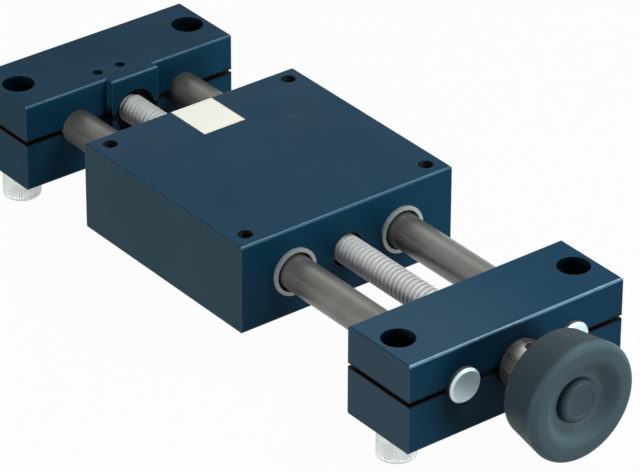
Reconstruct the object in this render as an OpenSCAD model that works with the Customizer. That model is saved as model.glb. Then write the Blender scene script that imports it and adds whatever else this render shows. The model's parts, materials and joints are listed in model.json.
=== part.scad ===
// Hand-driven lead-screw linear slide: two clamping end blocks carry two guide
// shafts, and a handwheel spindle between them drives the carriage.
// X runs along the shafts towards the handwheel, Y across them, Z up.

/* [Frame] */
// Length of an end block along the shafts
block_l = 30; // [27:1:40]
// Height of an end block
block_h = 32; // [30:0.5:36]
// Height of the shaft axes above the foot of an end block
axis_h = 18; // [17:0.5:19]
// Clear distance between the two end blocks
frame_gap = 173; // [140:1:400]
// Height of the clamping slit in the end blocks
slit_h = 1.2; // [0.8:0.1:2]
// Radius of the rounded edges that run across the shafts
edge_r = 1.2; // [0.6:0.1:1.5]
// Chamfer on the other edges of the blocks and the carriage
edge_chamfer = 0.4; // [0.2:0.1:0.8]
// Distance from a shaft's axis to the side of the blocks and the carriage
shaft_edge = 20.75; // [19.5:0.25:26]

/* [Guide shafts] */
// Diameter of a guide shaft
shaft_d = 12; // [10:0.5:12]
// Distance between the two shaft axes
shaft_pitch = 43.5; // [40:0.5:60]
// Length of shaft that stands out of each end block
shaft_out = 2; // [1.5:0.5:8]
// Chamfer on the shaft ends
shaft_chamfer = 0.8; // [0.4:0.1:1.2]

/* [Clamp screws] */
// Distance from a clamp screw's axis to the side of its block
screw_edge = 7.5; // [6.5:0.25:8.5]
// Thread diameter of a clamp screw
screw_d = 8; // [6:1:8]
// Length of a clamp screw under its head
screw_l = 25; // [22:1:25]
// Diameter of a clamp screw's head
screw_head_d = 13; // [12:0.5:14]
// Height of a clamp screw's head
screw_head_h = 8; // [6:0.5:9]
// Width across the flats of the hexagon socket
screw_socket = 6; // [4:0.5:6]
// Outer diameter of the spring washer under the head
washer_d = 12.7; // [12:0.1:13]
// Thickness of the spring washer
washer_t = 2; // [1.6:0.1:2.5]
// Diameter of the counterbore in the top of an end block
counterbore_d = 11; // [9:0.5:11]
// Depth of that counterbore
counterbore_h = 6.5; // [5:0.5:7]

/* [Carriage] */
// Length of the carriage along the shafts
carriage_l = 85; // [75:1:100]
// Height of the carriage
carriage_h = 32; // [30:0.5:33]
// Place of the carriage's middle, from the middle of the frame
carriage_x = -10; // [-20:1:20]
// Distance of the tapped holes in the carriage's top from its edges
tap_edge = 6; // [4:0.25:9]
// Core diameter of those tapped holes
tap_d = 5; // [4:0.5:6]
// Depth of those tapped holes
tap_depth = 14; // [8:1:18]
// Outer diameter of a bushing sleeve
sleeve_d = 16.5; // [16.4:0.1:17.5]
// Bore of a bushing sleeve
sleeve_bore = 14; // [13.6:0.1:14.2]
// Length of a bushing sleeve
sleeve_l = 30; // [20:1:34]
// Length of sleeve that stands out of the carriage
sleeve_out = 1; // [0.5:0.1:2]
// Depth of the liner's end behind the sleeve's end
liner_recess = 2; // [1:0.5:4]

/* [Lead nut] */
// Outer diameter of the nut's barrel
nut_d = 16; // [15:0.5:17]
// Length of the nut, with its flange
nut_l = 34; // [20:1:40]
// Diameter of the nut's flange
nut_flange_d = 29; // [28:0.5:29.5]
// Wall of the carriage between the flange's flats and the bushings
nut_flange_wall = 1.5; // [1:0.1:2.5]
// Thickness of the nut's flange
nut_flange_t = 4; // [3:0.5:6]
// Distance between the two screws in the flange
nut_screw_pitch = 22.5; // [22:0.1:23]
// Thread diameter of the flange screws
nut_screw_d = 2.5; // [2:0.5:2.5]
// Diameter of the flange screws' heads
nut_head_d = 4.5; // [4:0.1:4.6]
// Height of those heads
nut_head_h = 2.5; // [2:0.1:2.8]
// Length of the flange screws
nut_screw_l = 12; // [8:1:16]

/* [Label] */
// Length of the blank label plate along the shafts
label_l = 19.5; // [12:0.5:24]
// Width of the label plate
label_w = 16.5; // [10:0.5:24]
// Thickness of the label plate, and the depth of its pocket
label_t = 0.4; // [0.2:0.1:0.6]

/* [Spindle and bushes] */
// Diameter over the spindle's thread
thread_d = 10; // [9:0.5:11]
// Diameter of the spindle's journals
journal_d = 8; // [7:0.5:8]
// Outer diameter of a spindle bush
bush_d = 12; // [11:0.5:12]
// Length of a spindle bush behind its flange
bush_l = 10; // [9:0.5:12]
// Diameter of a bush's flange
bush_flange_d = 16; // [15:0.5:16]
// Thickness of a bush's flange
bush_flange_t = 1.2; // [1:0.1:2]
// Width of the bearing pad on the rear end block
pad_w = 19; // [18:0.5:24]
// Length of that pad along the shafts
pad_l = 3; // [2.5:0.5:5]
// Diameter of the two tapped holes behind the pad
pin_hole_d = 4; // [3:0.5:4]
// Distance of those holes from the rear block's inner face
pin_hole_in = 5.75; // [5:0.25:7]
// Distance of the empty one from the middle
pin_hole_y = 9.25; // [9:0.25:11]
// Depth of the empty one
pin_hole_depth = 9; // [6:1:12]

/* [Handwheel] */
// Largest diameter of the handwheel, at its front rim
wheel_d = 40.8; // [38:0.2:48]
// Diameter of the handwheel at its back
wheel_back_d = 36.8; // [34:0.2:37]
// Length of the handwheel's rim
wheel_l = 16.5; // [14:0.5:20]
// Gap between the front end block and the handwheel's rim
wheel_gap = 15; // [14.5:0.5:20]
// Diameter of the dished front
dish_d = 25; // [23:0.5:26]
// Depth of the dish
dish_h = 4; // [2:0.5:5]
// Depth of the recess in the handwheel's back
back_recess = 3; // [2:0.5:4]
// Diameter of the centre cap
cap_d = 15; // [13:0.5:15.5]
// Diameter of the metal insert
insert_d = 15; // [13:0.5:15.5]
// Diameter of the set collar and the thrust washer
collar_d = 16.5; // [15:0.5:17]
// Length of the set collar
collar_l = 8; // [7:0.5:8.5]
// Thickness of the thrust washer
thrust_t = 1; // [0.5:0.1:1.5]
// Gap between the collar and the insert
hub_gap = 0.4; // [0.2:0.1:1]
// Thread diameter of the radial set screws
set_screw_d = 4; // [3:0.5:4]
// Distance of the insert's set screw from the insert's rear end
insert_screw_in = 3; // [2.5:0.1:4]
// Depth of the cap's seat below the dish
cap_seat_h = 3; // [2:0.5:4]
// Height of the cap above its seat
cap_h = 5.6; // [4:0.2:6.8]
// Thread diameter of the screw in the spindle's end
end_screw_d = 4; // [3:0.5:5]
// Length of that screw under its head
end_screw_l = 10; // [6:1:12]
// Height of that screw's head
end_head_h = 2.5; // [2:0.1:2.8]

/* [Hidden] */
// Radial clearance of a seated fit, a running fit and an end face that turns
seat_gap = 0.02;
run_gap = 0.05;
end_gap = 0.1;
$fn = 48;

face_x = frame_gap / 2;
shaft_end_x = face_x + block_l + shaft_out;
front_x = face_x + block_l;
top_z = block_h - axis_h;
head_z = -axis_h - washer_t - screw_head_h;
body_w = shaft_pitch + 2 * shaft_edge;
screw_y = body_w / 2 - screw_edge;
pad_x = pad_l - face_x;
shoulder_front_x = face_x - end_gap;
shoulder_rear_x = end_gap - face_x;
washer_x = front_x + bush_flange_t + end_gap;
collar_x = washer_x + thrust_t;
insert_x = collar_x + collar_l + hub_gap;
wheel_x = front_x + wheel_gap;
wheel_front_x = wheel_x + wheel_l;
web_x = wheel_front_x - dish_h;
cap_seat_x = web_x - cap_seat_h;
spindle_end_x = cap_seat_x - end_head_h - 0.5;
carriage_half = carriage_l / 2;
nut_flats = shaft_pitch - sleeve_d - 2 * nut_flange_wall;
mid_x = (wheel_front_x - shaft_end_x) / 2;

BLUE = [0.15, 0.24, 0.31];
STEEL = [0.55, 0.56, 0.54];
BRIGHT = [0.80, 0.82, 0.83];
DARK = [0.12, 0.13, 0.14];

// ---- shared shapes -------------------------------------------------------

// Moves the model from its construction axes to the row frame: the origin is
// below the middle of the whole slide, at the feet.
module placed() {
    translate([-mid_x, 0, -head_z]) children();
}

// A cylinder along X, from x0 to x1.
module bar(d, x0, x1) {
    translate([x0, 0, 0]) rotate([0, 90, 0]) cylinder(d = d, h = x1 - x0);
}

// A cylinder along X with a chamfer at both ends.
module chamfered_bar(d, x0, x1, c) {
    translate([x0, 0, 0]) rotate([0, 90, 0]) rotate_extrude()
        polygon([[0, 0], [d / 2 - c, 0], [d / 2, c], [d / 2, x1 - x0 - c], [d / 2 - c, x1 - x0], [0, x1 - x0]]);
}

// A tube along X, from x0 to x1.
module tube(outer_d, inner_d, x0, x1) {
    translate([x0, 0, 0]) rotate([0, 90, 0]) rotate_extrude()
        translate([inner_d / 2, 0]) square([(outer_d - inner_d) / 2, x1 - x0]);
}

// A turned piece along X. Each point of the outline is [radius, x].
module turned(outline) {
    rotate([0, 90, 0]) rotate_extrude() polygon(outline);
}

// A hexagon socket's prism along Z, up from z = 0.
module hexagon(flats, h) {
    cylinder(d = flats / cos(30), h = h, $fn = 6);
}

module rounded_rect(w, h, r) {
    square([w - 2 * r, h], center = true);
    square([w, h - 2 * r], center = true);
    for (sx = [-1, 1], sy = [-1, 1])
        translate([sx * (w / 2 - r), sy * (h / 2 - r)]) circle(r);
}

module chamfered_rect(w, h, c) {
    polygon([
        [-w / 2 + c, -h / 2], [w / 2 - c, -h / 2], [w / 2, -h / 2 + c], [w / 2, h / 2 - c],
        [w / 2 - c, h / 2], [-w / 2 + c, h / 2], [-w / 2, h / 2 - c], [-w / 2, -h / 2 + c]
    ]);
}

// A machined bar of metal standing on z = 0: round edges along Y, chamfers along X.
module billet(l, w, h) {
    translate([0, 0, h / 2]) intersection() {
        rotate([90, 0, 0]) linear_extrude(w, center = true) rounded_rect(l, h, edge_r);
        rotate([90, 0, 90]) linear_extrude(l, center = true) chamfered_rect(w, h, edge_chamfer);
    }
}

// ---- end blocks ----------------------------------------------------------

// The block that both ends share, with its middle at x. The slit runs from
// each end of the block into the shaft bore, so the screws clamp the shafts.
module clamp_block(x) {
    translate([x, 0, 0]) difference() {
        translate([0, 0, -axis_h]) billet(block_l, body_w, block_h);
        for (side = [-1, 1]) {
            translate([0, side * shaft_pitch / 2, 0])
                bar(shaft_d + 2 * seat_gap, -block_l, block_l);
            translate([-block_l, side > 0 ? shaft_pitch / 2 : -body_w, -slit_h / 2])
                cube([2 * block_l, body_w - shaft_pitch / 2, slit_h]);
            translate([0, side * screw_y, -axis_h - 1]) {
                cylinder(d = screw_d + 1, h = axis_h + 1);
                cylinder(d = screw_d + 2 * seat_gap, h = block_h + 2);
            }
            translate([0, side * screw_y, top_z - counterbore_h])
                cylinder(d = counterbore_d, h = counterbore_h + 1);
        }
    }
}

// A bush's seat: its bore, and the recess for its flange, open as far as x = mouth.
module bush_seat(face, depth, mouth) {
    bar(bush_d + 2 * seat_gap, face - depth, face);
    bar(bush_flange_d + 2 * seat_gap, face - bush_flange_t, mouth + 1);
}

module front_end_block() color(BLUE) difference() {
    clamp_block(face_x + block_l / 2);
    bar(bush_d + 2 * seat_gap, face_x - 1, front_x + 1);
    mirror([1, 0, 0]) bush_seat(-face_x, bush_l, -face_x);
}

module rear_end_block() color(BLUE) difference() {
    union() {
        clamp_block(-face_x - block_l / 2);
        translate([pad_x - pad_l, 0, -top_z]) billet(2 * pad_l, pad_w, 2 * top_z);
    }
    bush_seat(-face_x, bush_flange_t + bush_l + 1, pad_x);
    translate([-face_x - pin_hole_in, 0, 0])
        cylinder(d = pin_hole_d + 2 * seat_gap, h = top_z + 1);
    translate([-face_x - pin_hole_in, -pin_hole_y, top_z - pin_hole_depth])
        cylinder(d = pin_hole_d, h = pin_hole_depth + 1);
}

// ---- guide shafts and clamp screws ---------------------------------------

module guide_shaft(side) color(STEEL)
    translate([0, side * shaft_pitch / 2, 0])
        chamfered_bar(shaft_d, -shaft_end_x, shaft_end_x, shaft_chamfer);

module at_clamp_screws() {
    for (end = [-1, 1], side = [-1, 1])
        translate([end * (face_x + block_l / 2), side * screw_y, 0]) children();
}

// Socket cap screws from below: the head is the foot that the slide stands on.
module clamp_screws() color(BRIGHT) at_clamp_screws() difference() {
    translate([0, 0, head_z]) rotate_extrude() polygon([
        [0, 0], [screw_head_d / 2 - 1, 0], [screw_head_d / 2, 1],
        [screw_head_d / 2, screw_head_h], [screw_d / 2, screw_head_h],
        [screw_d / 2, screw_head_h + screw_l - 1], [screw_d / 2 - 1, screw_head_h + screw_l],
        [0, screw_head_h + screw_l]
    ]);
    translate([0, 0, head_z - 1]) hexagon(screw_socket, screw_head_h / 2 + 1);
}

// Split spring washers, closed up flat by the heads.
module clamp_spring_washers() color(BRIGHT) at_clamp_screws()
    translate([0, 0, -axis_h - washer_t]) difference() {
        cylinder(d = washer_d, h = washer_t);
        translate([0, 0, -1]) cylinder(d = screw_d + 2 * seat_gap, h = washer_t + 2);
        rotate([0, 0, -30]) translate([0, -0.4, -1]) cube([washer_d, 0.8, washer_t + 2]);
    }

// ---- spindle bushes ------------------------------------------------------

// A flanged plain bush with its flange's face at x = face, body towards -X.
module flanged_bush(face) color(DARK) turned([
    [journal_d / 2 + run_gap, face], [bush_flange_d / 2, face],
    [bush_flange_d / 2, face - bush_flange_t], [bush_d / 2, face - bush_flange_t],
    [bush_d / 2, face - bush_flange_t - bush_l],
    [journal_d / 2 + run_gap, face - bush_flange_t - bush_l]
]);

module front_inner_bush() mirror([1, 0, 0]) flanged_bush(-face_x);
module front_outer_bush() flanged_bush(front_x + bush_flange_t);
module rear_bush() flanged_bush(-face_x);

// A headless screw along Z, down to z = 0, with a hexagon socket in its top.
module grub(d, l) difference() {
    cylinder(d = d, h = l);
    translate([0, 0, l - d / 2]) hexagon(d / 2, d);
}

module rear_bush_set_screw() color(DARK)
    translate([-face_x - pin_hole_in, 0, bush_d / 2]) grub(pin_hole_d, 5);

// ---- spindle and handwheel -----------------------------------------------

// The thread is drawn at its outside diameter.
module lead_screw() color(BRIGHT) difference() {
    union() {
        bar(thread_d, shoulder_rear_x, shoulder_front_x);
        chamfered_bar(journal_d, -face_x - bush_flange_t - bush_l, spindle_end_x, 0.5);
    }
    bar(end_screw_d, spindle_end_x - end_screw_l - 2, spindle_end_x + 1);
}

module thrust_washer() color(BRIGHT)
    tube(collar_d, journal_d + 2 * seat_gap, washer_x, washer_x + thrust_t);

// Radial screw hole through a hub of outer diameter d, up from the journal.
module radial_hole(x, d) {
    translate([x, 0, 0]) cylinder(d = set_screw_d + 2 * seat_gap, h = d);
}

module set_collar() color(STEEL) difference() {
    tube(collar_d, journal_d + 2 * seat_gap, collar_x, collar_x + collar_l);
    radial_hole(collar_x + collar_l / 2, collar_d);
}

module radial_screw(x, d) color(DARK)
    translate([x, 0, journal_d / 2 + seat_gap]) grub(set_screw_d, (d - journal_d) / 2 - 0.6);

module collar_set_screw() radial_screw(collar_x + collar_l / 2, collar_d);

// The moulded wheel: a slightly flared skirt, a dished front and a web that
// closes round the metal insert.
module handwheel_rim() color([0.27, 0.33, 0.34]) turned([
    [insert_d / 2 + seat_gap, wheel_x + back_recess], [wheel_back_d / 2 - 4, wheel_x + back_recess],
    [wheel_back_d / 2 - 3, wheel_x],
    for (a = [0:15:90]) [wheel_back_d / 2 - 1.2 + 1.2 * sin(a), wheel_x + 1.2 - 1.2 * cos(a)],
    for (a = [0:10:90]) [wheel_d / 2 - 2.4 + 2.4 * cos(a), wheel_front_x - 2.4 + 2.4 * sin(a)],
    for (a = [0:15:45]) [dish_d / 2 + 1.5 - 1.5 * sin(a), wheel_front_x - 1.5 + 1.5 * cos(a)],
    [dish_d / 2 - dish_h + 1, web_x], [cap_d / 2 + seat_gap, web_x],
    [cap_d / 2 + seat_gap, cap_seat_x], [insert_d / 2 + seat_gap, cap_seat_x]
]);

module handwheel_insert() color(STEEL) difference() {
    tube(insert_d, journal_d + 2 * seat_gap, insert_x, spindle_end_x);
    radial_hole(insert_x + insert_screw_in, insert_d);
}

module insert_set_screw() radial_screw(insert_x + insert_screw_in, insert_d);

// Holds the wheel on the spindle's end, under the cap.
module handwheel_screw() color(BRIGHT) difference() {
    union() {
        bar(end_screw_d - 2 * seat_gap, spindle_end_x - end_screw_l, spindle_end_x);
        bar(insert_d, spindle_end_x, spindle_end_x + end_head_h);
    }
    translate([spindle_end_x + end_head_h / 2, 0, 0]) rotate([0, 90, 0])
        hexagon(end_screw_d - 1, end_head_h);
}

module centre_cap() color([0.30, 0.36, 0.37]) turned([
    [0, cap_seat_x], [cap_d / 2, cap_seat_x],
    for (a = [0:15:90]) [cap_d / 2 - 1 + cos(a), cap_seat_x + cap_h - 1 + sin(a)],
    [0, cap_seat_x + cap_h]
]);

// ---- carriage ------------------------------------------------------------

// The nut's flange, up to x = t, or its recess when it is grown by a gap.
module nut_flange(gap, t) intersection() {
    bar(nut_flange_d + 2 * gap, gap > 0 ? -1 : 0, t);
    cube([3 * t, nut_flats + 2 * gap, nut_flange_d + 1], center = true);
}

// The carriage before it is bored.
module carriage_billet() translate([0, 0, -carriage_h / 2]) billet(carriage_l, body_w, carriage_h);

// The label's place: a shallow pocket, open at the carriage's rear edge.
module label_space(gap) translate([-carriage_half - 1, -label_w / 2 - gap, carriage_h / 2 - label_t])
    cube([label_l + 1 + gap, label_w + 2 * gap, label_t + 1]);

module carriage_body() color(BLUE) translate([carriage_x, 0, 0]) difference() {
    carriage_billet();
    label_space(seat_gap);
    for (side = [-1, 1])
        translate([0, side * shaft_pitch / 2, 0])
            bar(sleeve_d + 2 * seat_gap, -carriage_l, carriage_l);
    bar(thread_d + 2, -carriage_l, carriage_l);
    bar(nut_d + 2 * seat_gap, -carriage_l, -carriage_half + nut_l);
    translate([-carriage_half, 0, 0]) nut_flange(seat_gap, nut_flange_t);
    for (sz = [-1, 1])
        translate([0, 0, sz * nut_screw_pitch / 2])
            bar(nut_screw_d + 2 * seat_gap, -carriage_l, -carriage_half + nut_screw_l + 1);
    for (sx = [-1, 1], sy = [-1, 1])
        translate([sx * (carriage_half - tap_edge), sy * (body_w / 2 - tap_edge), carriage_h / 2 - tap_depth])
            cylinder(d = tap_d, h = tap_depth + 1);
}

// The sleeve nearest the handwheel for end = 1, the far one for end = -1.
module at_sleeve(end, side) {
    translate([carriage_x, side * shaft_pitch / 2, 0])
        mirror([end < 0 ? 1 : 0, 0, 0]) children();
}

module bushing_sleeve(end, side) color(BRIGHT) at_sleeve(end, side)
    tube(sleeve_d, sleeve_bore, carriage_half + sleeve_out - sleeve_l, carriage_half + sleeve_out);

module bushing_liner(end, side) color(DARK) at_sleeve(end, side)
    tube(sleeve_bore - 2 * seat_gap, shaft_d + 2 * run_gap,
         carriage_half + sleeve_out - sleeve_l, carriage_half + sleeve_out - liner_recess);

module lead_nut() color([0.75, 0.70, 0.45]) translate([carriage_x - carriage_half, 0, 0]) difference() {
    union() {
        nut_flange(0, nut_flange_t);
        bar(nut_d, 0, nut_l);
    }
    bar(thread_d + 2 * run_gap, -1, nut_l + 1);
    for (sz = [-1, 1])
        translate([0, 0, sz * nut_screw_pitch / 2]) {
            bar(nut_screw_d + 2 * seat_gap, -1, nut_flange_t + 1);
            bar(nut_head_d + 2 * seat_gap, -1, nut_head_h + 0.1);
        }
}

// Cap screws with their heads sunk in the nut's flange.
module nut_screws() color(BRIGHT) for (sz = [-1, 1])
    translate([carriage_x - carriage_half, 0, sz * nut_screw_pitch / 2]) difference() {
        union() {
            bar(nut_head_d, 0.1, nut_head_h + 0.1);
            bar(nut_screw_d, 0.1, nut_screw_l);
        }
        rotate([0, 90, 0]) hexagon(nut_screw_d - 0.5, nut_head_h / 2);
    }

// The blank label fills its pocket, flush with the top and the rounded edge.
module label_plate() color([0.93, 0.91, 0.83]) translate([carriage_x, 0, 0]) intersection() {
    carriage_billet();
    label_space(0);
}

// ---- assembly ------------------------------------------------------------

placed() front_end_block();
placed() rear_end_block();
placed() guide_shaft(-1);  // left_guide_shaft
placed() guide_shaft(1);  // right_guide_shaft
placed() clamp_screws();
placed() clamp_spring_washers();
placed() front_inner_bush();
placed() front_outer_bush();
placed() rear_bush();
placed() rear_bush_set_screw();
placed() lead_screw();
placed() thrust_washer();
placed() set_collar();
placed() collar_set_screw();
placed() handwheel_rim();
placed() handwheel_insert();
placed() insert_set_screw();
placed() handwheel_screw();
placed() centre_cap();
placed() carriage_body();
placed() bushing_sleeve(1, -1);  // front_left_sleeve
placed() bushing_sleeve(1, 1);  // front_right_sleeve
placed() bushing_sleeve(-1, -1);  // rear_left_sleeve
placed() bushing_sleeve(-1, 1);  // rear_right_sleeve
placed() bushing_liner(1, -1);  // front_left_liner
placed() bushing_liner(1, 1);  // front_right_liner
placed() bushing_liner(-1, -1);  // rear_left_liner
placed() bushing_liner(-1, 1);  // rear_right_liner
placed() lead_nut();
placed() nut_screws();
placed() label_plate();
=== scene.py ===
import functools
import json
import math

import bmesh
import bpy
from mathutils import Matrix, Vector

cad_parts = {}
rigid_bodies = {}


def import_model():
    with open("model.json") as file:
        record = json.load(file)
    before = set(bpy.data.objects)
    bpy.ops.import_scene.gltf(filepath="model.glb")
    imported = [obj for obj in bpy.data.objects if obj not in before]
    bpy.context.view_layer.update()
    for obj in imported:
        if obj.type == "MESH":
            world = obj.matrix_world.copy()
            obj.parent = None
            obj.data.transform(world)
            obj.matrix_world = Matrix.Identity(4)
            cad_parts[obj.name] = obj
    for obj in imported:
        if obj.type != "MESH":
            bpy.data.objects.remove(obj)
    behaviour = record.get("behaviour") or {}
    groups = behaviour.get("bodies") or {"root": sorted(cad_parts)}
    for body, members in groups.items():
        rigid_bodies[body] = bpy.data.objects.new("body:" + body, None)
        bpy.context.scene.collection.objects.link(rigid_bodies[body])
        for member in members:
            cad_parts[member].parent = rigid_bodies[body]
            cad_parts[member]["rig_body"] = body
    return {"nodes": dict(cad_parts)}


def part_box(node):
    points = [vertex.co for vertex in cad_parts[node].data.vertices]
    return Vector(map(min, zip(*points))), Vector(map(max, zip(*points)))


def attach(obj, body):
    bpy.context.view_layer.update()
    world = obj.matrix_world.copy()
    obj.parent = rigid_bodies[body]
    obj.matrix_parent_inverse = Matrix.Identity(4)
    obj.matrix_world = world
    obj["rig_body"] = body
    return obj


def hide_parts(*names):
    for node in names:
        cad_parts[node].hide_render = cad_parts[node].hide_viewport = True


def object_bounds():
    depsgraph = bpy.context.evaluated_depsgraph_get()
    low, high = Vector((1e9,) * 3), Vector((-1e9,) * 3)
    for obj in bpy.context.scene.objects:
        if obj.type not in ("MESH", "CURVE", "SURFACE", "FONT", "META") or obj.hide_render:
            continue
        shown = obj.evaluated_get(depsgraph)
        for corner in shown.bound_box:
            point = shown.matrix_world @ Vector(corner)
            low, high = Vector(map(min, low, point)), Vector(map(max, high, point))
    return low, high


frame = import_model()
cad_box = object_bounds()
nodes = frame["nodes"]
MM = 0.001


# ---- node graphs ----------------------------------------------------------

class Graph:
    """The node graph of a material or a world. A socket argument is a number, a colour or another node's output.

    A socket is named by its label with _ for spaces, or by i and its number."""

    def __init__(self, owner):
        owner.use_nodes = True
        self.owner, self.tree = owner, owner.node_tree
        self.tree.nodes.clear()

    def node(self, kind, settings=None, **sockets):
        n = self.tree.nodes.new(kind)
        for key, value in (settings or {}).items():
            setattr(n, key, value)
        for key, value in sockets.items():
            numbered = key[0] == "i" and key[1:].isdigit()
            self.put(n.inputs[int(key[1:]) if numbered else key.replace("_", " ")], value)
        return n

    def put(self, socket, value):
        if isinstance(value, bpy.types.NodeSocket):
            self.tree.links.new(value, socket)
        elif isinstance(value, tuple) and len(value) == 3 and socket.type == "RGBA":
            socket.default_value = (*value, 1.0)
        else:
            socket.default_value = value

    # arithmetic

    def math(self, op, a, b=0.0):
        return self.node("ShaderNodeMath", {"operation": op}, i0=a, i1=b).outputs[0]

    def plus(self, a, b):
        return self.math("ADD", a, b)

    def minus(self, a, b):
        return self.math("SUBTRACT", a, b)

    def times(self, a, b):
        return self.math("MULTIPLY", a, b)

    def size(self, a):
        return self.math("ABSOLUTE", a)

    def apart(self, a, b):
        return self.size(self.minus(a, b))

    def ramp(self, value, low, high, out_low=0.0, out_high=1.0):
        """Runs smoothly from out_low, where the value is low, to out_high, where it is high."""
        return self.node("ShaderNodeMapRange", {"interpolation_type": "SMOOTHSTEP"}, Value=value,
                         From_Min=low, From_Max=high, To_Min=out_low, To_Max=out_high).outputs["Result"]

    def mix(self, factor, a, b):
        return self.node("ShaderNodeMix", {"data_type": "RGBA"}, i0=factor, i6=a, i7=b).outputs[2]

    # places and directions

    @functools.cached_property
    def place(self):
        return self.node("ShaderNodeTexCoord").outputs

    def xyz(self, vector):
        return self.node("ShaderNodeSeparateXYZ", Vector=vector).outputs[:3]

    def position(self):
        return self.xyz(self.place["Object"])

    def facing(self):
        return self.xyz(self.place["Normal"])

    def stretch(self, x, y, z):
        """Object coordinates scaled by x, y and z, for streaks."""
        return self.node("ShaderNodeVectorMath", {"operation": "MULTIPLY"},
                         i0=self.place["Object"], i1=(x, y, z)).outputs["Vector"]

    def scaled(self, *pairs):
        """A vector of three values, each times its scale."""
        x, y, z = (self.times(value, scale) for value, scale in pairs)
        return self.node("ShaderNodeCombineXYZ", X=x, Y=y, Z=z).outputs[0]

    def polar(self, a, b):
        """Distance of the point (a, b) from zero, and its angle."""
        r = self.math("SQRT", self.plus(self.times(a, a), self.times(b, b)))
        return r, self.math("ARCTAN2", b, a)

    def axis_radius(self, y, z):
        """Distance from an axis along X through y, z, and the angle round it."""
        _, py, pz = self.position()
        return self.polar(self.minus(py, y), self.minus(pz, z))

    def hole_radius(self, x, y):
        """Distance from a vertical axis through x, y, and the angle round it."""
        px, py, _ = self.position()
        return self.polar(self.minus(px, x), self.minus(py, y))

    # patterns and surfaces

    def noise(self, vector=None, scale=1.0, detail=2.0, rough=0.5):
        return self.node("ShaderNodeTexNoise", Vector=vector or self.place["Object"],
                         Scale=scale, Detail=detail, Roughness=rough).outputs["Fac"]

    def blurred(self, radius):
        """The normal, turned smoothly across edges over the radius."""
        return self.node("ShaderNodeBevel", {"samples": 6}, Radius=radius).outputs[0]

    def edges(self, radius, low, high):
        """1 on convex and concave edges, 0 on flats."""
        flat = self.node("ShaderNodeNewGeometry").outputs["Normal"]
        bend = self.node("ShaderNodeVectorMath", {"operation": "DOT_PRODUCT"}, i0=self.blurred(radius), i1=flat)
        return self.ramp(self.minus(1.0, bend.outputs["Value"]), low, high)

    def rounded(self):
        """1 along the long rounded edges, where the surface turns from an end face to the top or bottom."""
        nx, _, nz = self.facing()
        return self.ramp(self.math("MINIMUM", self.size(nx), self.size(nz)), 0.16, 0.62)

    def bump(self, height, distance, strength, normal=None):
        n = self.node("ShaderNodeBump", Height=height, Distance=distance, Strength=strength)
        if normal is not None:
            self.put(n.inputs["Normal"], normal)
        return n.outputs[0]

    def backdrop(self):
        """1 where the camera, gloss or glass looks at the surface, 0 where the surface only lights the object."""
        path = self.node("ShaderNodeLightPath").outputs
        shiny = self.math("MAXIMUM", path["Is Glossy Ray"], path["Is Transmission Ray"])
        return self.math("MAXIMUM", path["Is Camera Ray"], shiny)

    def output(self, shader, kind="ShaderNodeOutputMaterial"):
        self.node(kind, Surface=shader.outputs[0])
        return self.owner

    def finish(self, color, rough, normal, **fixed):
        return self.output(self.node("ShaderNodeBsdfPrincipled",
                                     Base_Color=color, Roughness=rough, Normal=normal, **fixed))


def material_graph(name):
    return Graph(bpy.data.materials.new(name))


# ---- finishes -------------------------------------------------------------

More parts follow.
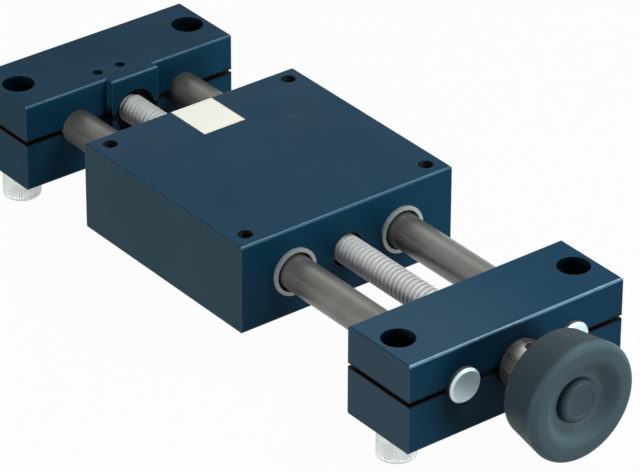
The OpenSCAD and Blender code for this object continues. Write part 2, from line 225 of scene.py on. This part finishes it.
def anodised(name, holes, wear, painted_side_light, slit=None, painted_top_light=None):
    """Dark blue anodised aluminium. holes lists (x, y, radius in mm, thread pitch in mm or 0).

    wear is how far the long rounded edges are rubbed to bare metal. The fourth argument is painted light on the
    bar's ±Y sides: a greyer colour that stands in for the sheen those sides catch. slit is the height of a clamp
    slit; painted shade darkens the slit and a band of the faces round it. The last argument is (y, y): painted
    light on the top, paler from the first y to the second."""
    g = material_graph(name)
    _, across, height_above = g.position()
    _, sideways, upwards = g.facing()

    # the dyed skin, painted light on its ±Y sides and top, and its fine grain
    cloud = g.noise(scale=26.0, detail=3.0)
    grain = g.noise(scale=2600.0, rough=0.6)
    streak = g.noise(g.stretch(60.0, 2400.0, 2400.0), detail=3.0, rough=0.65)
    color = g.mix(g.ramp(cloud, 0.3, 0.7), (0.0014, 0.0305, 0.0630), (0.0026, 0.0350, 0.0705))
    # painted sheen: the ±Y sides are mixed towards a greyer colour
    color = g.mix(g.ramp(g.size(sideways), 0.75, 0.95), color, painted_side_light)
    # painted light: the top pales from the first y to the second
    if painted_top_light is not None:
        pale = g.times(g.ramp(across, *painted_top_light), g.ramp(upwards, 0.7, 0.95))
        color = g.mix(pale, color, (0.020, 0.057, 0.095))
    color = g.mix(g.ramp(grain, 0.45, 0.80, 0.0, 0.10), color, (0.022, 0.072, 0.120))
    color = g.mix(g.ramp(streak, 0.50, 0.80, 0.0, 0.06), color, (0.030, 0.085, 0.130))

    # a few long scratches
    cells = g.node("ShaderNodeTexVoronoi", {"feature": "DISTANCE_TO_EDGE"},
                   Vector=g.stretch(34.0, 90.0, 90.0), Scale=1.0)
    patches = g.ramp(g.noise(scale=70.0, detail=1.0), 0.60, 0.72)
    scratch = g.times(g.ramp(cells.outputs["Distance"], 0.0, 0.012, 1.0, 0.0), patches)
    color = g.mix(g.times(scratch, 0.22), color, (0.08, 0.15, 0.20))

    # sharp edges worn a little, long rounded edges rubbed to metal
    nibbled = g.ramp(g.noise(scale=420.0, detail=4.0, rough=0.7), 0.30, 0.62, 0.45, 1.0)
    worn = g.times(g.edges(0.5 * MM, 0.004, 0.10), nibbled)
    patchy = g.ramp(g.noise(scale=180.0, detail=4.0, rough=0.7), 0.25, 0.60, 0.70 * wear, wear)
    rubbed = g.times(g.rounded(), patchy)
    # painted shade: the slit and a band of the faces round it are painted near black, free of edge wear
    if slit is not None:
        inside = g.ramp(g.apart(height_above, slit), 0.80 * MM, 1.45 * MM, 1.0, 0.0)
        worn = g.times(worn, g.minus(1.0, inside))
        color = g.mix(inside, color, (0.0008, 0.0015, 0.0025))
    color = g.mix(g.times(worn, 0.55), color, (0.090, 0.135, 0.180))
    color = g.mix(rubbed, color, (0.075, 0.115, 0.155))

    # relief, then the holes and their threads
    relief = g.minus(g.plus(g.times(grain, 0.6), g.times(streak, 0.4)), g.times(scratch, 0.8))
    normal = g.bump(relief, 0.02 * MM, 0.30, g.blurred(0.35 * MM))
    metal = rubbed
    for x, y, r, pitch in holes:
        radius, angle = g.hole_radius(x, y)
        inside = g.ramp(radius, (r + 0.06) * MM, (r + 0.22) * MM, 1.0, 0.0)
        # painted shade: each hole's inside is painted near black
        color = g.mix(g.times(inside, 0.88), color, (0.0010, 0.0025, 0.0050))
        if pitch:
            turns = g.plus(g.math("DIVIDE", height_above, pitch * MM), g.math("DIVIDE", angle, 2 * math.pi))
            thread = g.math("PINGPONG", g.math("FRACT", turns), 0.5)
            normal = g.bump(g.times(thread, inside), 1.0 * MM, 1.0, normal)
            color = g.mix(g.times(inside, g.ramp(thread, 0.34, 0.5, 0.0, 0.5)), color, (0.060, 0.085, 0.105))
            # On a tapped part the last thread's wave sets the metal sheen, in place of the rubbed edges.
            # It is faint, and the other colours were matched to the photograph with it.
            metal = thread
    sheen = g.math("MAXIMUM", g.times(worn, 0.45), g.times(metal, 0.9))
    rough = g.ramp(g.noise(scale=45.0, detail=3.0), 0.25, 0.75, 0.38, 0.48)
    return g.finish(color, rough, normal, Metallic=sheen, Specular_IOR_Level=0.054)


def turned_metal(name, y, z, base, deep, rough, metallic=1.0, edge=(0.8, 0.8, 0.8), ends=None):
    """Metal turned or ground round an axis along X: fine rings, faint axial rubbing, brighter edges.

    ends is a node's box, where the ground bar's cut ends are brighter."""
    g = material_graph(name)
    px, _, _ = g.position()
    radius, angle = g.axis_radius(y, z)
    rings = g.noise(g.scaled((px, 3000.0), (radius, 3000.0), (angle, 0.35)), rough=0.6)
    rub = g.noise(g.scaled((px, 14.0), (angle, 9.0), (radius, 200.0)), detail=4.0, rough=0.7)
    stain = g.noise(scale=55.0, detail=4.0, rough=0.6)
    color = g.mix(g.ramp(stain, 0.3, 0.75), base, deep)
    color = g.mix(g.ramp(rings, 0.4, 0.8, 0.0, 0.30), color, deep)
    color = g.mix(g.times(g.edges(0.3 * MM, 0.01, 0.2), 0.5), color, edge)
    if ends:
        middle, half = (ends[0].x + ends[1].x) / 2, (ends[1].x - ends[0].x) / 2
        color = g.mix(g.ramp(g.apart(px, middle), half - 0.95 * MM, half - 0.65 * MM), color, edge)
    roughness = g.plus(g.ramp(rub, 0.3, 0.7, rough - 0.05, rough + 0.07), g.ramp(rings, 0.3, 0.8, 0.0, 0.06))
    normal = g.bump(g.plus(rings, g.times(rub, 0.5)), 0.012 * MM, 0.5)
    return g.finish(color, roughness, normal, Metallic=metallic, Specular_IOR_Level=0.25)


def threaded_steel(name, y, z, root, crest):
    """Rolled steel: a shade greyer and rougher in the thread's root than on its crest. Radii are in mm."""
    g = material_graph(name)
    px, _, _ = g.position()
    radius, angle = g.axis_radius(y, z)
    up = g.ramp(radius, root * MM, crest * MM)
    swirl = g.noise(g.scaled((px, 900.0), (angle, 2.0), (radius, 2500.0)), detail=3.0, rough=0.6)
    spots = g.noise(scale=240.0, detail=4.0, rough=0.65)
    color = g.mix(up, (0.56, 0.56, 0.55), (0.64, 0.65, 0.65))
    color = g.mix(g.ramp(spots, 0.42, 0.78, 0.0, 0.22), color, (0.46, 0.45, 0.42))
    rough = g.plus(g.ramp(up, 0.0, 1.0, 0.52, 0.42), g.ramp(spots, 0.3, 0.8, 0.0, 0.08))
    return g.finish(color, rough, g.bump(swirl, 0.010 * MM, 0.5), Metallic=0.15, Specular_IOR_Level=0.12)


def plated(name, base, tint, rough, metallic):
    """Zinc or black finish on small hardware, with brighter edges."""
    g = material_graph(name)
    blotch = g.noise(scale=320.0, detail=4.0, rough=0.6)
    grain = g.noise(scale=5200.0, detail=1.0)
    color = g.mix(g.ramp(blotch, 0.35, 0.7), base, tint)
    lit = tuple(min(1.0, c * 1.25 + 0.05) for c in base)
    color = g.mix(g.times(g.edges(0.25 * MM, 0.01, 0.2), 0.5), color, lit)
    roughness = g.plus(g.ramp(blotch, 0.3, 0.7, rough - 0.04, rough + 0.08), g.ramp(grain, 0.4, 0.8, 0.0, 0.06))
    return g.finish(color, roughness, g.bump(grain, 0.01 * MM, 0.4), Metallic=metallic)


def moulded(name, base, pale, rough, texture=1.0, specular=0.4, painted_wheel_shading=None):
    """Moulded plastic with a fine spark-eroded skin, paler where hands and edges rub it.

    For a wheel, the last argument is (x, radius, y, z), with the axis through y, z: painted shade darkens its
    skirt, outside that radius and behind x, and painted light makes its dish paler."""
    g = material_graph(name)
    skin = g.noise(scale=2200.0, detail=3.0, rough=0.6)
    pits = g.node("ShaderNodeTexVoronoi", {"feature": "SMOOTH_F1"}, Scale=1500.0).outputs["Distance"]
    cloud = g.noise(scale=60.0, detail=3.0)
    color = g.mix(g.ramp(cloud, 0.3, 0.7), base, tuple(c * 1.10 for c in base))
    color = g.mix(g.ramp(skin, 0.45, 0.8, 0.0, 0.18), color, pale)
    rub = g.times(g.edges(0.7 * MM, 0.004, 0.10), g.ramp(g.noise(scale=300.0, detail=3.0), 0.3, 0.7, 0.3, 1.0))
    color = g.mix(g.times(rub, 0.45), color, pale)
    roughness = g.ramp(g.noise(scale=90.0, detail=3.0), 0.3, 0.7, rough - 0.05, rough + 0.06)
    if painted_wheel_shading is not None:
        front, skirt, y, z = painted_wheel_shading
        radius, _ = g.axis_radius(y, z)
        along = g.plus(g.position()[0], g.ramp(cloud, 0.3, 0.7, -0.3 * MM, 0.3 * MM))
        outer = g.ramp(radius, skirt - 1.0 * MM, skirt + 1.0 * MM)
        # painted shade: the skirt behind the wheel's face is darker
        painted_skirt_shade = g.times(outer, g.ramp(along, front - 2.4 * MM, front + 0.6 * MM, 0.66, 0.0))
        color = g.mix(painted_skirt_shade, color, (0.006, 0.010, 0.012))
        # painted light: the dish is paler, offsetting its shade
        color = g.mix(g.ramp(radius, 12.0 * MM, 14.5 * MM, 0.34, 0.0), color, pale)
    height = g.plus(g.times(skin, 0.5), g.times(pits, 0.5))
    return g.finish(color, roughness, g.bump(height, 0.035 * MM * texture, 0.5), Specular_IOR_Level=specular)


def film(name, low, high):
    """Blank cream film: faint fibres, edges a little yellowed. low and high are its corners."""
    g = material_graph(name)
    fibre = g.noise(g.stretch(500.0, 2600.0, 500.0), detail=4.0, rough=0.7)
    px, py, _ = g.position()
    middle, half = (low + high) / 2, (high - low) / 2
    dx = g.size(g.math("DIVIDE", g.minus(px, middle.x), half.x))
    dy = g.size(g.math("DIVIDE", g.minus(py, middle.y), half.y))
    patchy = g.ramp(g.noise(scale=260.0, detail=3.0), 0.3, 0.7, 0.4, 1.0)
    rim = g.times(g.ramp(g.math("MAXIMUM", dx, dy), 0.86, 1.0), patchy)
    color = g.mix(g.ramp(fibre, 0.35, 0.75), (0.965, 0.948, 0.830), (0.980, 0.968, 0.880))
    color = g.mix(g.times(rim, 0.5), color, (0.74, 0.69, 0.56))
    rough = g.ramp(fibre, 0.3, 0.7, 0.42, 0.55)
    return g.finish(color, rough, g.bump(fibre, 0.02 * MM, 0.4), Specular_IOR_Level=0.35)


# ---- mesh tools -----------------------------------------------------------

def add_object(name, data):
    obj = bpy.data.objects.new(name, data)
    bpy.context.scene.collection.objects.link(obj)
    return obj


def new_mesh(name, bm):
    mesh = bpy.data.meshes.new(name)
    bm.to_mesh(mesh)
    bm.free()
    return mesh


def smooth(mesh, degrees):
    """Smooth shading, with edges that turn by more than the angle kept sharp."""
    mesh.shade_smooth()
    mesh.set_sharp_from_angle(angle=math.radians(degrees))


def dress(node, material):
    """Gives a CAD node its material."""
    mesh = nodes[node].data
    mesh.materials.clear()
    mesh.materials.append(material)
    smooth(mesh, 24)


def piece(name, bm, node, material):
    """A finished mesh that stands for a CAD node."""
    bmesh.ops.remove_doubles(bm, verts=bm.verts, dist=1e-7)
    bmesh.ops.recalc_face_normals(bm, faces=bm.faces)
    mesh = new_mesh(name, bm)
    mesh.materials.append(material)
    smooth(mesh, 28)
    obj = add_object(name, mesh)
    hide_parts(node)
    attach(obj, nodes[node]["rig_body"])


def about(origin, along, r, a, h):
    """The point at radius r, angle a and distance h, in mm, about an axis from origin along 'X' or 'Z'."""
    ox, oy, oz = origin
    across, up, out = r * math.cos(a) * MM, r * math.sin(a) * MM, h * MM
    return (ox + out, oy + across, oz + up) if along == "X" else (ox + across, oy + up, oz + out)


def lathe(bm, outline, steps, origin, along):
    """Revolves an outline of (radius, distance) in mm. A radius may be a function of the angle."""
    angles = [2 * math.pi * i / steps for i in range(steps)]
    loops = []
    for radius, h in outline:
        radii = [radius(a) if callable(radius) else radius for a in angles]
        loops.append([bm.verts.new(about(origin, along, r, a, h)) for r, a in zip(radii, angles)])
    for low, high in zip(loops, loops[1:]):
        for i in range(steps):
            j = (i + 1) % steps
            bm.faces.new((low[i], low[j], high[j], high[i]))


def arc(cx, cy, r, start, end, count):
    """Points of an arc, in mm and degrees, from the direction +radius towards +distance."""
    angles = [math.radians(start + (end - start) * i / count) for i in range(count + 1)]
    return [(cx + r * math.cos(a), cy + r * math.sin(a)) for a in angles]


def hexagon(flats):
    """The radius of a hexagon, as a function of the angle."""
    def radius(a):
        t = (a + math.pi / 6) % (math.pi / 3) - math.pi / 6
        return flats / 2 / math.cos(t)
    return radius


def helix(bm, profile, pitch, h0, h1, steps, origin, along):
    """A right-handed thread between distances h0 and h1, from the (distance, radius) profile of one pitch."""
    first, last = math.floor((h0 - pitch) / pitch) - 1, math.ceil((h1 + pitch) / pitch) + 1
    rows = []
    for turn in range(first, last):
        for i in range(steps):
            a = 2 * math.pi * i / steps
            lead = (turn + i / steps) * pitch
            rows.append([bm.verts.new(about(origin, along, r, a, lead + d)) for d, r in profile])
    for k in range(len(rows) - 1):
        a, b = rows[k], rows[k + 1]
        for j in range(len(profile) - 1):
            bm.faces.new((a[j], a[j + 1], b[j + 1], b[j]))
        if k + steps + 1 < len(rows):
            c, d = rows[k + steps], rows[k + steps + 1]
            bm.faces.new((a[-1], c[0], d[0], b[-1]))
    axis = Vector((1, 0, 0)) if along == "X" else Vector((0, 0, 1))
    for h, way in ((h0, -1), (h1, 1)):
        cut = Vector(origin) + axis * (h * MM)
        geometry = bm.verts[:] + bm.edges[:] + bm.faces[:]
        bmesh.ops.bisect_plane(bm, geom=geometry, dist=1e-9, plane_co=cut, plane_no=axis * way, clear_outer=True)
        rim = [e for e in bm.edges if e.is_boundary and all(abs((v.co - cut).dot(axis)) < 1e-7 for v in e.verts)]
        bmesh.ops.edgeloop_fill(bm, edges=rim)


def merge(bm, other):
    """Moves another bmesh into bm."""
    mesh = new_mesh("merge", other)
    bm.from_mesh(mesh)
    bpy.data.meshes.remove(mesh)


# ---- places from the CAD frame, and sizes in mm ---------------------------

screw_lo, screw_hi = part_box("lead_screw")
axis_y, axis_z = (screw_lo.y + screw_hi.y) / 2, (screw_lo.z + screw_hi.z) / 2
axis_origin = (0.0, axis_y, axis_z)
rear_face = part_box("rear_bush")[1].x
front_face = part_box("front_inner_bush")[0].x
rim_lo, rim_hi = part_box("handwheel_rim")
cap_lo, cap_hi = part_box("centre_cap")
heads_lo, heads_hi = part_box("clamp_screws")
body_lo, body_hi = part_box("carriage_body")
front_lo, front_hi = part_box("front_end_block")
right_lo, right_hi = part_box("right_guide_shaft")
shaft_y = (right_lo.y + right_hi.y) / 2

HEAD_R, HEAD_H, SHANK_R, SHANK_L = 6.5, 8.0, 4.0, 25.0      # clamp screws
COUNTERBORE_R = 5.5
TAP_EDGE, TAP_R, TAP_PITCH = 6.0, 2.5, 0.8                  # the carriage's mounting holes
PITCH, CREST, ROOT = 2.0, 5.0, 4.0                          # the spindle's thread
POLE = 0.01                                                 # an outline closes this near to its axis

head_xs = (heads_lo.x + HEAD_R * MM, heads_hi.x - HEAD_R * MM)
head_ys = (heads_lo.y + HEAD_R * MM, heads_hi.y - HEAD_R * MM)

# ---- materials on the CAD nodes -------------------------------------------

taps = [(x, y, TAP_R, TAP_PITCH) for x in (body_lo.x + TAP_EDGE * MM, body_hi.x - TAP_EDGE * MM)
        for y in (body_lo.y + TAP_EDGE * MM, body_hi.y - TAP_EDGE * MM)]
dress("carriage_body", anodised("carriage_blue", taps, 0.55, (0.012, 0.038, 0.056)))
for block, x, wear, painted_side_light, painted_top_light in (
        ("front_end_block", (front_lo.x + front_hi.x) / 2, 1.0, (0.021, 0.050, 0.074), (0.030, -0.030)),
        ("rear_end_block", head_xs[0], 0.5, (0.004, 0.029, 0.052), None)):
    counterbores = [(x, y, COUNTERBORE_R, 0.0) for y in head_ys]
    dress(block, anodised(block + "_blue", counterbores, wear, painted_side_light, axis_z, painted_top_light))

for side, y in (("left", -shaft_y), ("right", shaft_y)):
    shaft = side + "_guide_shaft"
    ground = turned_metal(side + "_shaft_finish", y, axis_z, (0.170, 0.173, 0.161), (0.129, 0.126, 0.114), 0.34, 0.65,
                          edge=(0.66, 0.83, 0.88), ends=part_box(shaft))
    dress(shaft, ground)
    sleeve = turned_metal(side + "_sleeve_finish", y, axis_z, (0.40, 0.445, 0.445), (0.29, 0.325, 0.33), 0.40, 0.55,
                          edge=(0.62, 0.67, 0.66))
    liner = moulded(side + "_liner_plastic", (0.050, 0.052, 0.048), (0.10, 0.10, 0.09), 0.6, specular=0.15)
    for end in ("front", "rear"):
        dress(f"{end}_{side}_sleeve", sleeve)
        dress(f"{end}_{side}_liner", liner)

zinc = plated("zinc", (0.70, 0.75, 0.73), (0.60, 0.63, 0.60), 0.34, 0.72)
for material, names in (
        (turned_metal("collar_steel", axis_y, axis_z, (0.42, 0.42, 0.38), (0.28, 0.275, 0.245), 0.30),
         ("thrust_washer", "set_collar", "handwheel_insert")),
        (moulded("bush_plastic", (0.010, 0.011, 0.012), (0.03, 0.03, 0.03), 0.6, specular=0.1),
         ("front_inner_bush", "front_outer_bush", "rear_bush")),
        (moulded("nut_plastic", (0.52, 0.44, 0.20), (0.66, 0.60, 0.40), 0.55, 0.6),
         ("lead_nut",)),
        (zinc,
         ("clamp_spring_washers", "nut_screws", "handwheel_screw")),
        (plated("black_oxide", (0.030, 0.030, 0.032), (0.055, 0.052, 0.050), 0.38, 0.7),
         ("rear_bush_set_screw", "collar_set_screw", "insert_set_screw")),
        (film("label_film", *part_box("label_plate")),
         ("label_plate",))):
    for node in names:
        dress(node, material)

# ---- the spindle with its trapezoidal thread ------------------------------

JOURNAL_STEPS = 72
thread_rear, thread_front = (rear_face + 0.1 * MM) / MM, (front_face - 0.1 * MM) / MM
spindle_rear, spindle_front = screw_lo.x / MM, screw_hi.x / MM
flank = (CREST - ROOT) * math.tan(math.radians(15))
land = (PITCH / 2 - flank) - 0.02
bm = bmesh.new()
helix(bm, [(-land / 2, CREST), (land / 2, CREST), (land / 2 + flank, ROOT), (PITCH - land / 2 - flank, ROOT)],
      PITCH, thread_rear, thread_front, 48, axis_origin, "X")
journals = bmesh.new()
lathe(journals, [(POLE, spindle_rear), (ROOT - 0.5, spindle_rear), (ROOT, spindle_rear + 0.5),
                 (ROOT, thread_rear + 0.3), (POLE, thread_rear + 0.3)], JOURNAL_STEPS, axis_origin, "X")
lathe(journals, [(POLE, thread_front - 0.3), (ROOT, thread_front - 0.3), (ROOT, spindle_front - 0.5),
                 (ROOT - 0.5, spindle_front), (2.0, spindle_front), (1.9, spindle_front - 11),
                 (POLE, spindle_front - 12)], JOURNAL_STEPS, axis_origin, "X")
merge(bm, journals)
spindle_steel = threaded_steel("spindle_steel", axis_y, axis_z, ROOT, CREST)
piece("spindle_thread", bm, "lead_screw", spindle_steel)

# ---- the clamp screws with knurled heads ----------------------------------

KNURLS, HEAD_STEPS, KNURL_DEPTH = 48, 288, 0.26
SHANK_PITCH, SHANK_CORE_R = 1.25, SHANK_R - 0.74


def knurl(depth):
    return lambda a: HEAD_R - depth * (0.5 - 0.5 * math.cos(KNURLS * a))


socket = hexagon(6.0)
plain, knurled = knurl(0.0), knurl(KNURL_DEPTH)
head = [(POLE, 4.6), (1.6, 3.9), (socket, 3.85), (socket, 0.45), (3.75, 0.0), (HEAD_R - 1.1, 0.0)]
head += arc(HEAD_R - 1.0, 1.0, 1.0, -80, -8, 5)
head += [(plain, 1.25), (knurled, 1.6), (knurled, 7.0), (plain, 7.35), (HEAD_R, 7.7), (HEAD_R - 0.3, HEAD_H),
         (SHANK_R, HEAD_H), (SHANK_R - 0.35, HEAD_H + 0.4)]
ridge = [(-0.08, SHANK_R), (0.08, SHANK_R), (0.56, SHANK_CORE_R), (0.69, SHANK_CORE_R)]
bm = bmesh.new()
for x in head_xs:
    for y in head_ys:
        at = (x, y, heads_lo.z)
        one, shank = bmesh.new(), bmesh.new()
        lathe(one, head, HEAD_STEPS, at, "Z")
        merge(bm, one)
        helix(shank, ridge, SHANK_PITCH, HEAD_H + 0.1, HEAD_H + SHANK_L, 36, at, "Z")
        merge(bm, shank)
piece("clamp_screw_set", bm, "clamp_screws", zinc)

# ---- the handwheel and its cap --------------------------------------------

BORE_R, BACK_R, RIM_R, ROUND_R = 7.52, 18.4, 20.4, 2.4
PAINTED_SHADE_BACK, PAINTED_SHADE_R = 1.6, 17.0      # the painted skirt shade starts this far behind the wheel's face, outside this radius
back_x, face_x = rim_lo.x / MM, rim_hi.x / MM
outline = [(BORE_R, back_x + 3.0), (BACK_R - 4.3, back_x + 3.0)]
outline += [(BACK_R - 4.0 + 0.3 * math.sin(t), back_x + 2.7 + 0.3 * math.cos(t)) for t in (0.5, 1.0)]
outline += [(BACK_R - 3.4, back_x + 0.5), (BACK_R - 3.0, back_x + 0.08), (BACK_R - 2.6, back_x)]
outline += arc(BACK_R - 1.2, back_x + 1.2, 1.2, -90, -6, 8)
outline += [(BACK_R + (RIM_R - BACK_R) * t * 0.98, back_x + 1.3 + (face_x - back_x - 3.9) * t)
            for t in (0.15, 0.35, 0.55, 0.75, 0.92)]
outline += arc(RIM_R - ROUND_R, face_x - ROUND_R, ROUND_R, 4, 90, 12)
# the dished face: radius, and depth below the face
outline += [(r, face_x - depth) for r, depth in (
    (16.4, 0.0), (15.2, 0.0), (14.6, 0.06), (14.0, 0.28), (13.3, 0.72), (12.6, 1.30), (12.0, 1.88), (11.3, 2.55),
    (10.5, 3.22), (9.9, 3.62), (9.2, 3.93), (8.6, 4.0), (BORE_R, 4.0), (BORE_R, 6.9))]
outline += [(BORE_R, back_x + 3.0)]
bm = bmesh.new()
lathe(bm, outline, 192, axis_origin, "X")
wheel_plastic = moulded("wheel_plastic", (0.050, 0.086, 0.102), (0.100, 0.150, 0.168), 0.50, specular=0.10,
                        painted_wheel_shading=(rim_hi.x - PAINTED_SHADE_BACK * MM, PAINTED_SHADE_R * MM, axis_y, axis_z))
piece("handwheel_moulding", bm, "handwheel_rim", wheel_plastic)

CAP_R, CAP_ROUND_R = 7.5, 1.9
cap_back, cap_face = cap_lo.x / MM, cap_hi.x / MM
outline = [(POLE, cap_back), (CAP_R - 0.1, cap_back), (CAP_R, cap_back + 0.2), (CAP_R, cap_face - CAP_ROUND_R)]
outline += arc(CAP_R - CAP_ROUND_R, cap_face - CAP_ROUND_R, CAP_ROUND_R, 6, 90, 12)
outline += [(r, cap_face - depth) for r, depth in ((5.3, 0.0), (5.1, 0.12), (4.4, 0.2), (2.2, 0.24), (POLE, 0.25))]
bm = bmesh.new()
lathe(bm, outline, 144, axis_origin, "X")
cap_plastic = moulded("cap_plastic", (0.030, 0.056, 0.069), (0.080, 0.120, 0.138), 0.42, 0.5, specular=0.16)
piece("wheel_cap", bm, "centre_cap", cap_plastic)

# ---- floor and world ------------------------------------------------------

WHITE = (1.0, 1.0, 1.0)
FLOOR_GREY, FLOOR_RADIUS, FLOOR_WHITENED = 0.14, 6.0, 0.97      # the rest of the floor's look is its shadow
WORLD_LEVEL = 0.11

g = material_graph("floor")
diffuse = g.node("ShaderNodeBsdfDiffuse", Color=(FLOOR_GREY, FLOOR_GREY, FLOOR_GREY))
white = g.node("ShaderNodeEmission", Color=WHITE, Strength=1.0)
floor_material = g.output(g.node("ShaderNodeMixShader", Fac=g.times(g.backdrop(), FLOOR_WHITENED),
                                 i1=diffuse.outputs[0], i2=white.outputs[0]))
bm = bmesh.new()
bmesh.ops.create_circle(bm, cap_ends=True, radius=FLOOR_RADIUS, segments=64)
floor = add_object("floor", new_mesh("floor", bm))
floor.data.materials.append(floor_material)
floor.location.z = cad_box[0].z - 0.2 * MM

g = Graph(bpy.data.worlds.new("studio"))
level = g.node("ShaderNodeMapRange", Value=g.backdrop(), To_Min=WORLD_LEVEL, To_Max=1.0).outputs["Result"]
background = g.node("ShaderNodeBackground", Color=WHITE, Strength=level)
bpy.context.scene.world = g.output(background, "ShaderNodeOutputWorld")

# ---- lamps ----------------------------------------------------------------


def direction(azimuth, elevation):
    flat = math.cos(elevation)
    return Vector((math.sin(azimuth) * flat, -math.cos(azimuth) * flat, math.sin(elevation)))


def softbox(name, azimuth, elevation, distance, width, height, watts, tint, target):
    """An area lamp that faces the target, from a direction in degrees."""
    away = direction(math.radians(azimuth), math.radians(elevation))
    lamp = bpy.data.lights.new(name, "AREA")
    lamp.shape, lamp.size, lamp.size_y, lamp.energy, lamp.color = "RECTANGLE", width, height, watts, tint
    obj = add_object(name, lamp)
    obj.location = Vector(target) + away * distance
    obj.rotation_mode = "QUATERNION"
    obj.rotation_quaternion = (-away).to_track_quat("-Z", "Y")


softbox("key", 350, 14, 0.60, 0.24, 0.16, 2.60, WHITE, (0.11, -0.04, 0.015))
softbox("rim", 168, 60, 0.40, 0.22, 0.22, 1.80, (0.94, 0.98, 1.0), (0.14, -0.01, 0.04))
softbox("back", 250, 45, 0.80, 0.30, 0.26, 0.40, (1.0, 0.98, 0.96), (0.06, 0.0, 0.03))
softbox("side", 110, 7, 1.00, 0.30, 0.24, 5.20, WHITE, (0.0, 0.0, 0.02))

# ---- camera ---------------------------------------------------------------

WIDTH, HEIGHT = 640, 472
FOCAL_PX, CENTRE_X_PX, CENTRE_Y_PX, SENSOR_MM = 4438.36, 316.62, 236.22, 36.0
AZIMUTH, ELEVATION, ROLL = math.radians(52.125), math.radians(30.514), math.radians(0.192)
CAMERA_PLACE = Vector((0.97419, -0.75666, 0.75169))

lens = bpy.data.cameras.new("camera")
lens.sensor_width = SENSOR_MM
lens.lens = FOCAL_PX / WIDTH * SENSOR_MM
lens.shift_x = (WIDTH / 2 - CENTRE_X_PX) / WIDTH
lens.shift_y = (CENTRE_Y_PX - HEIGHT / 2) / WIDTH
lens.clip_start, lens.clip_end = 0.05, 20.0
away = direction(AZIMUTH, ELEVATION)
right = Vector((math.cos(AZIMUTH), math.sin(AZIMUTH), 0.0))
turn = Matrix.Rotation(ROLL, 3, away)
axes = Matrix((turn @ right, turn @ away.cross(right), away)).transposed()
camera = add_object("camera", lens)
camera.matrix_world = Matrix.Translation(CAMERA_PLACE) @ axes.to_4x4()
bpy.context.scene.camera = camera
bpy.context.scene.view_settings.view_transform = "Standard"

bpy.context.view_layer.update()
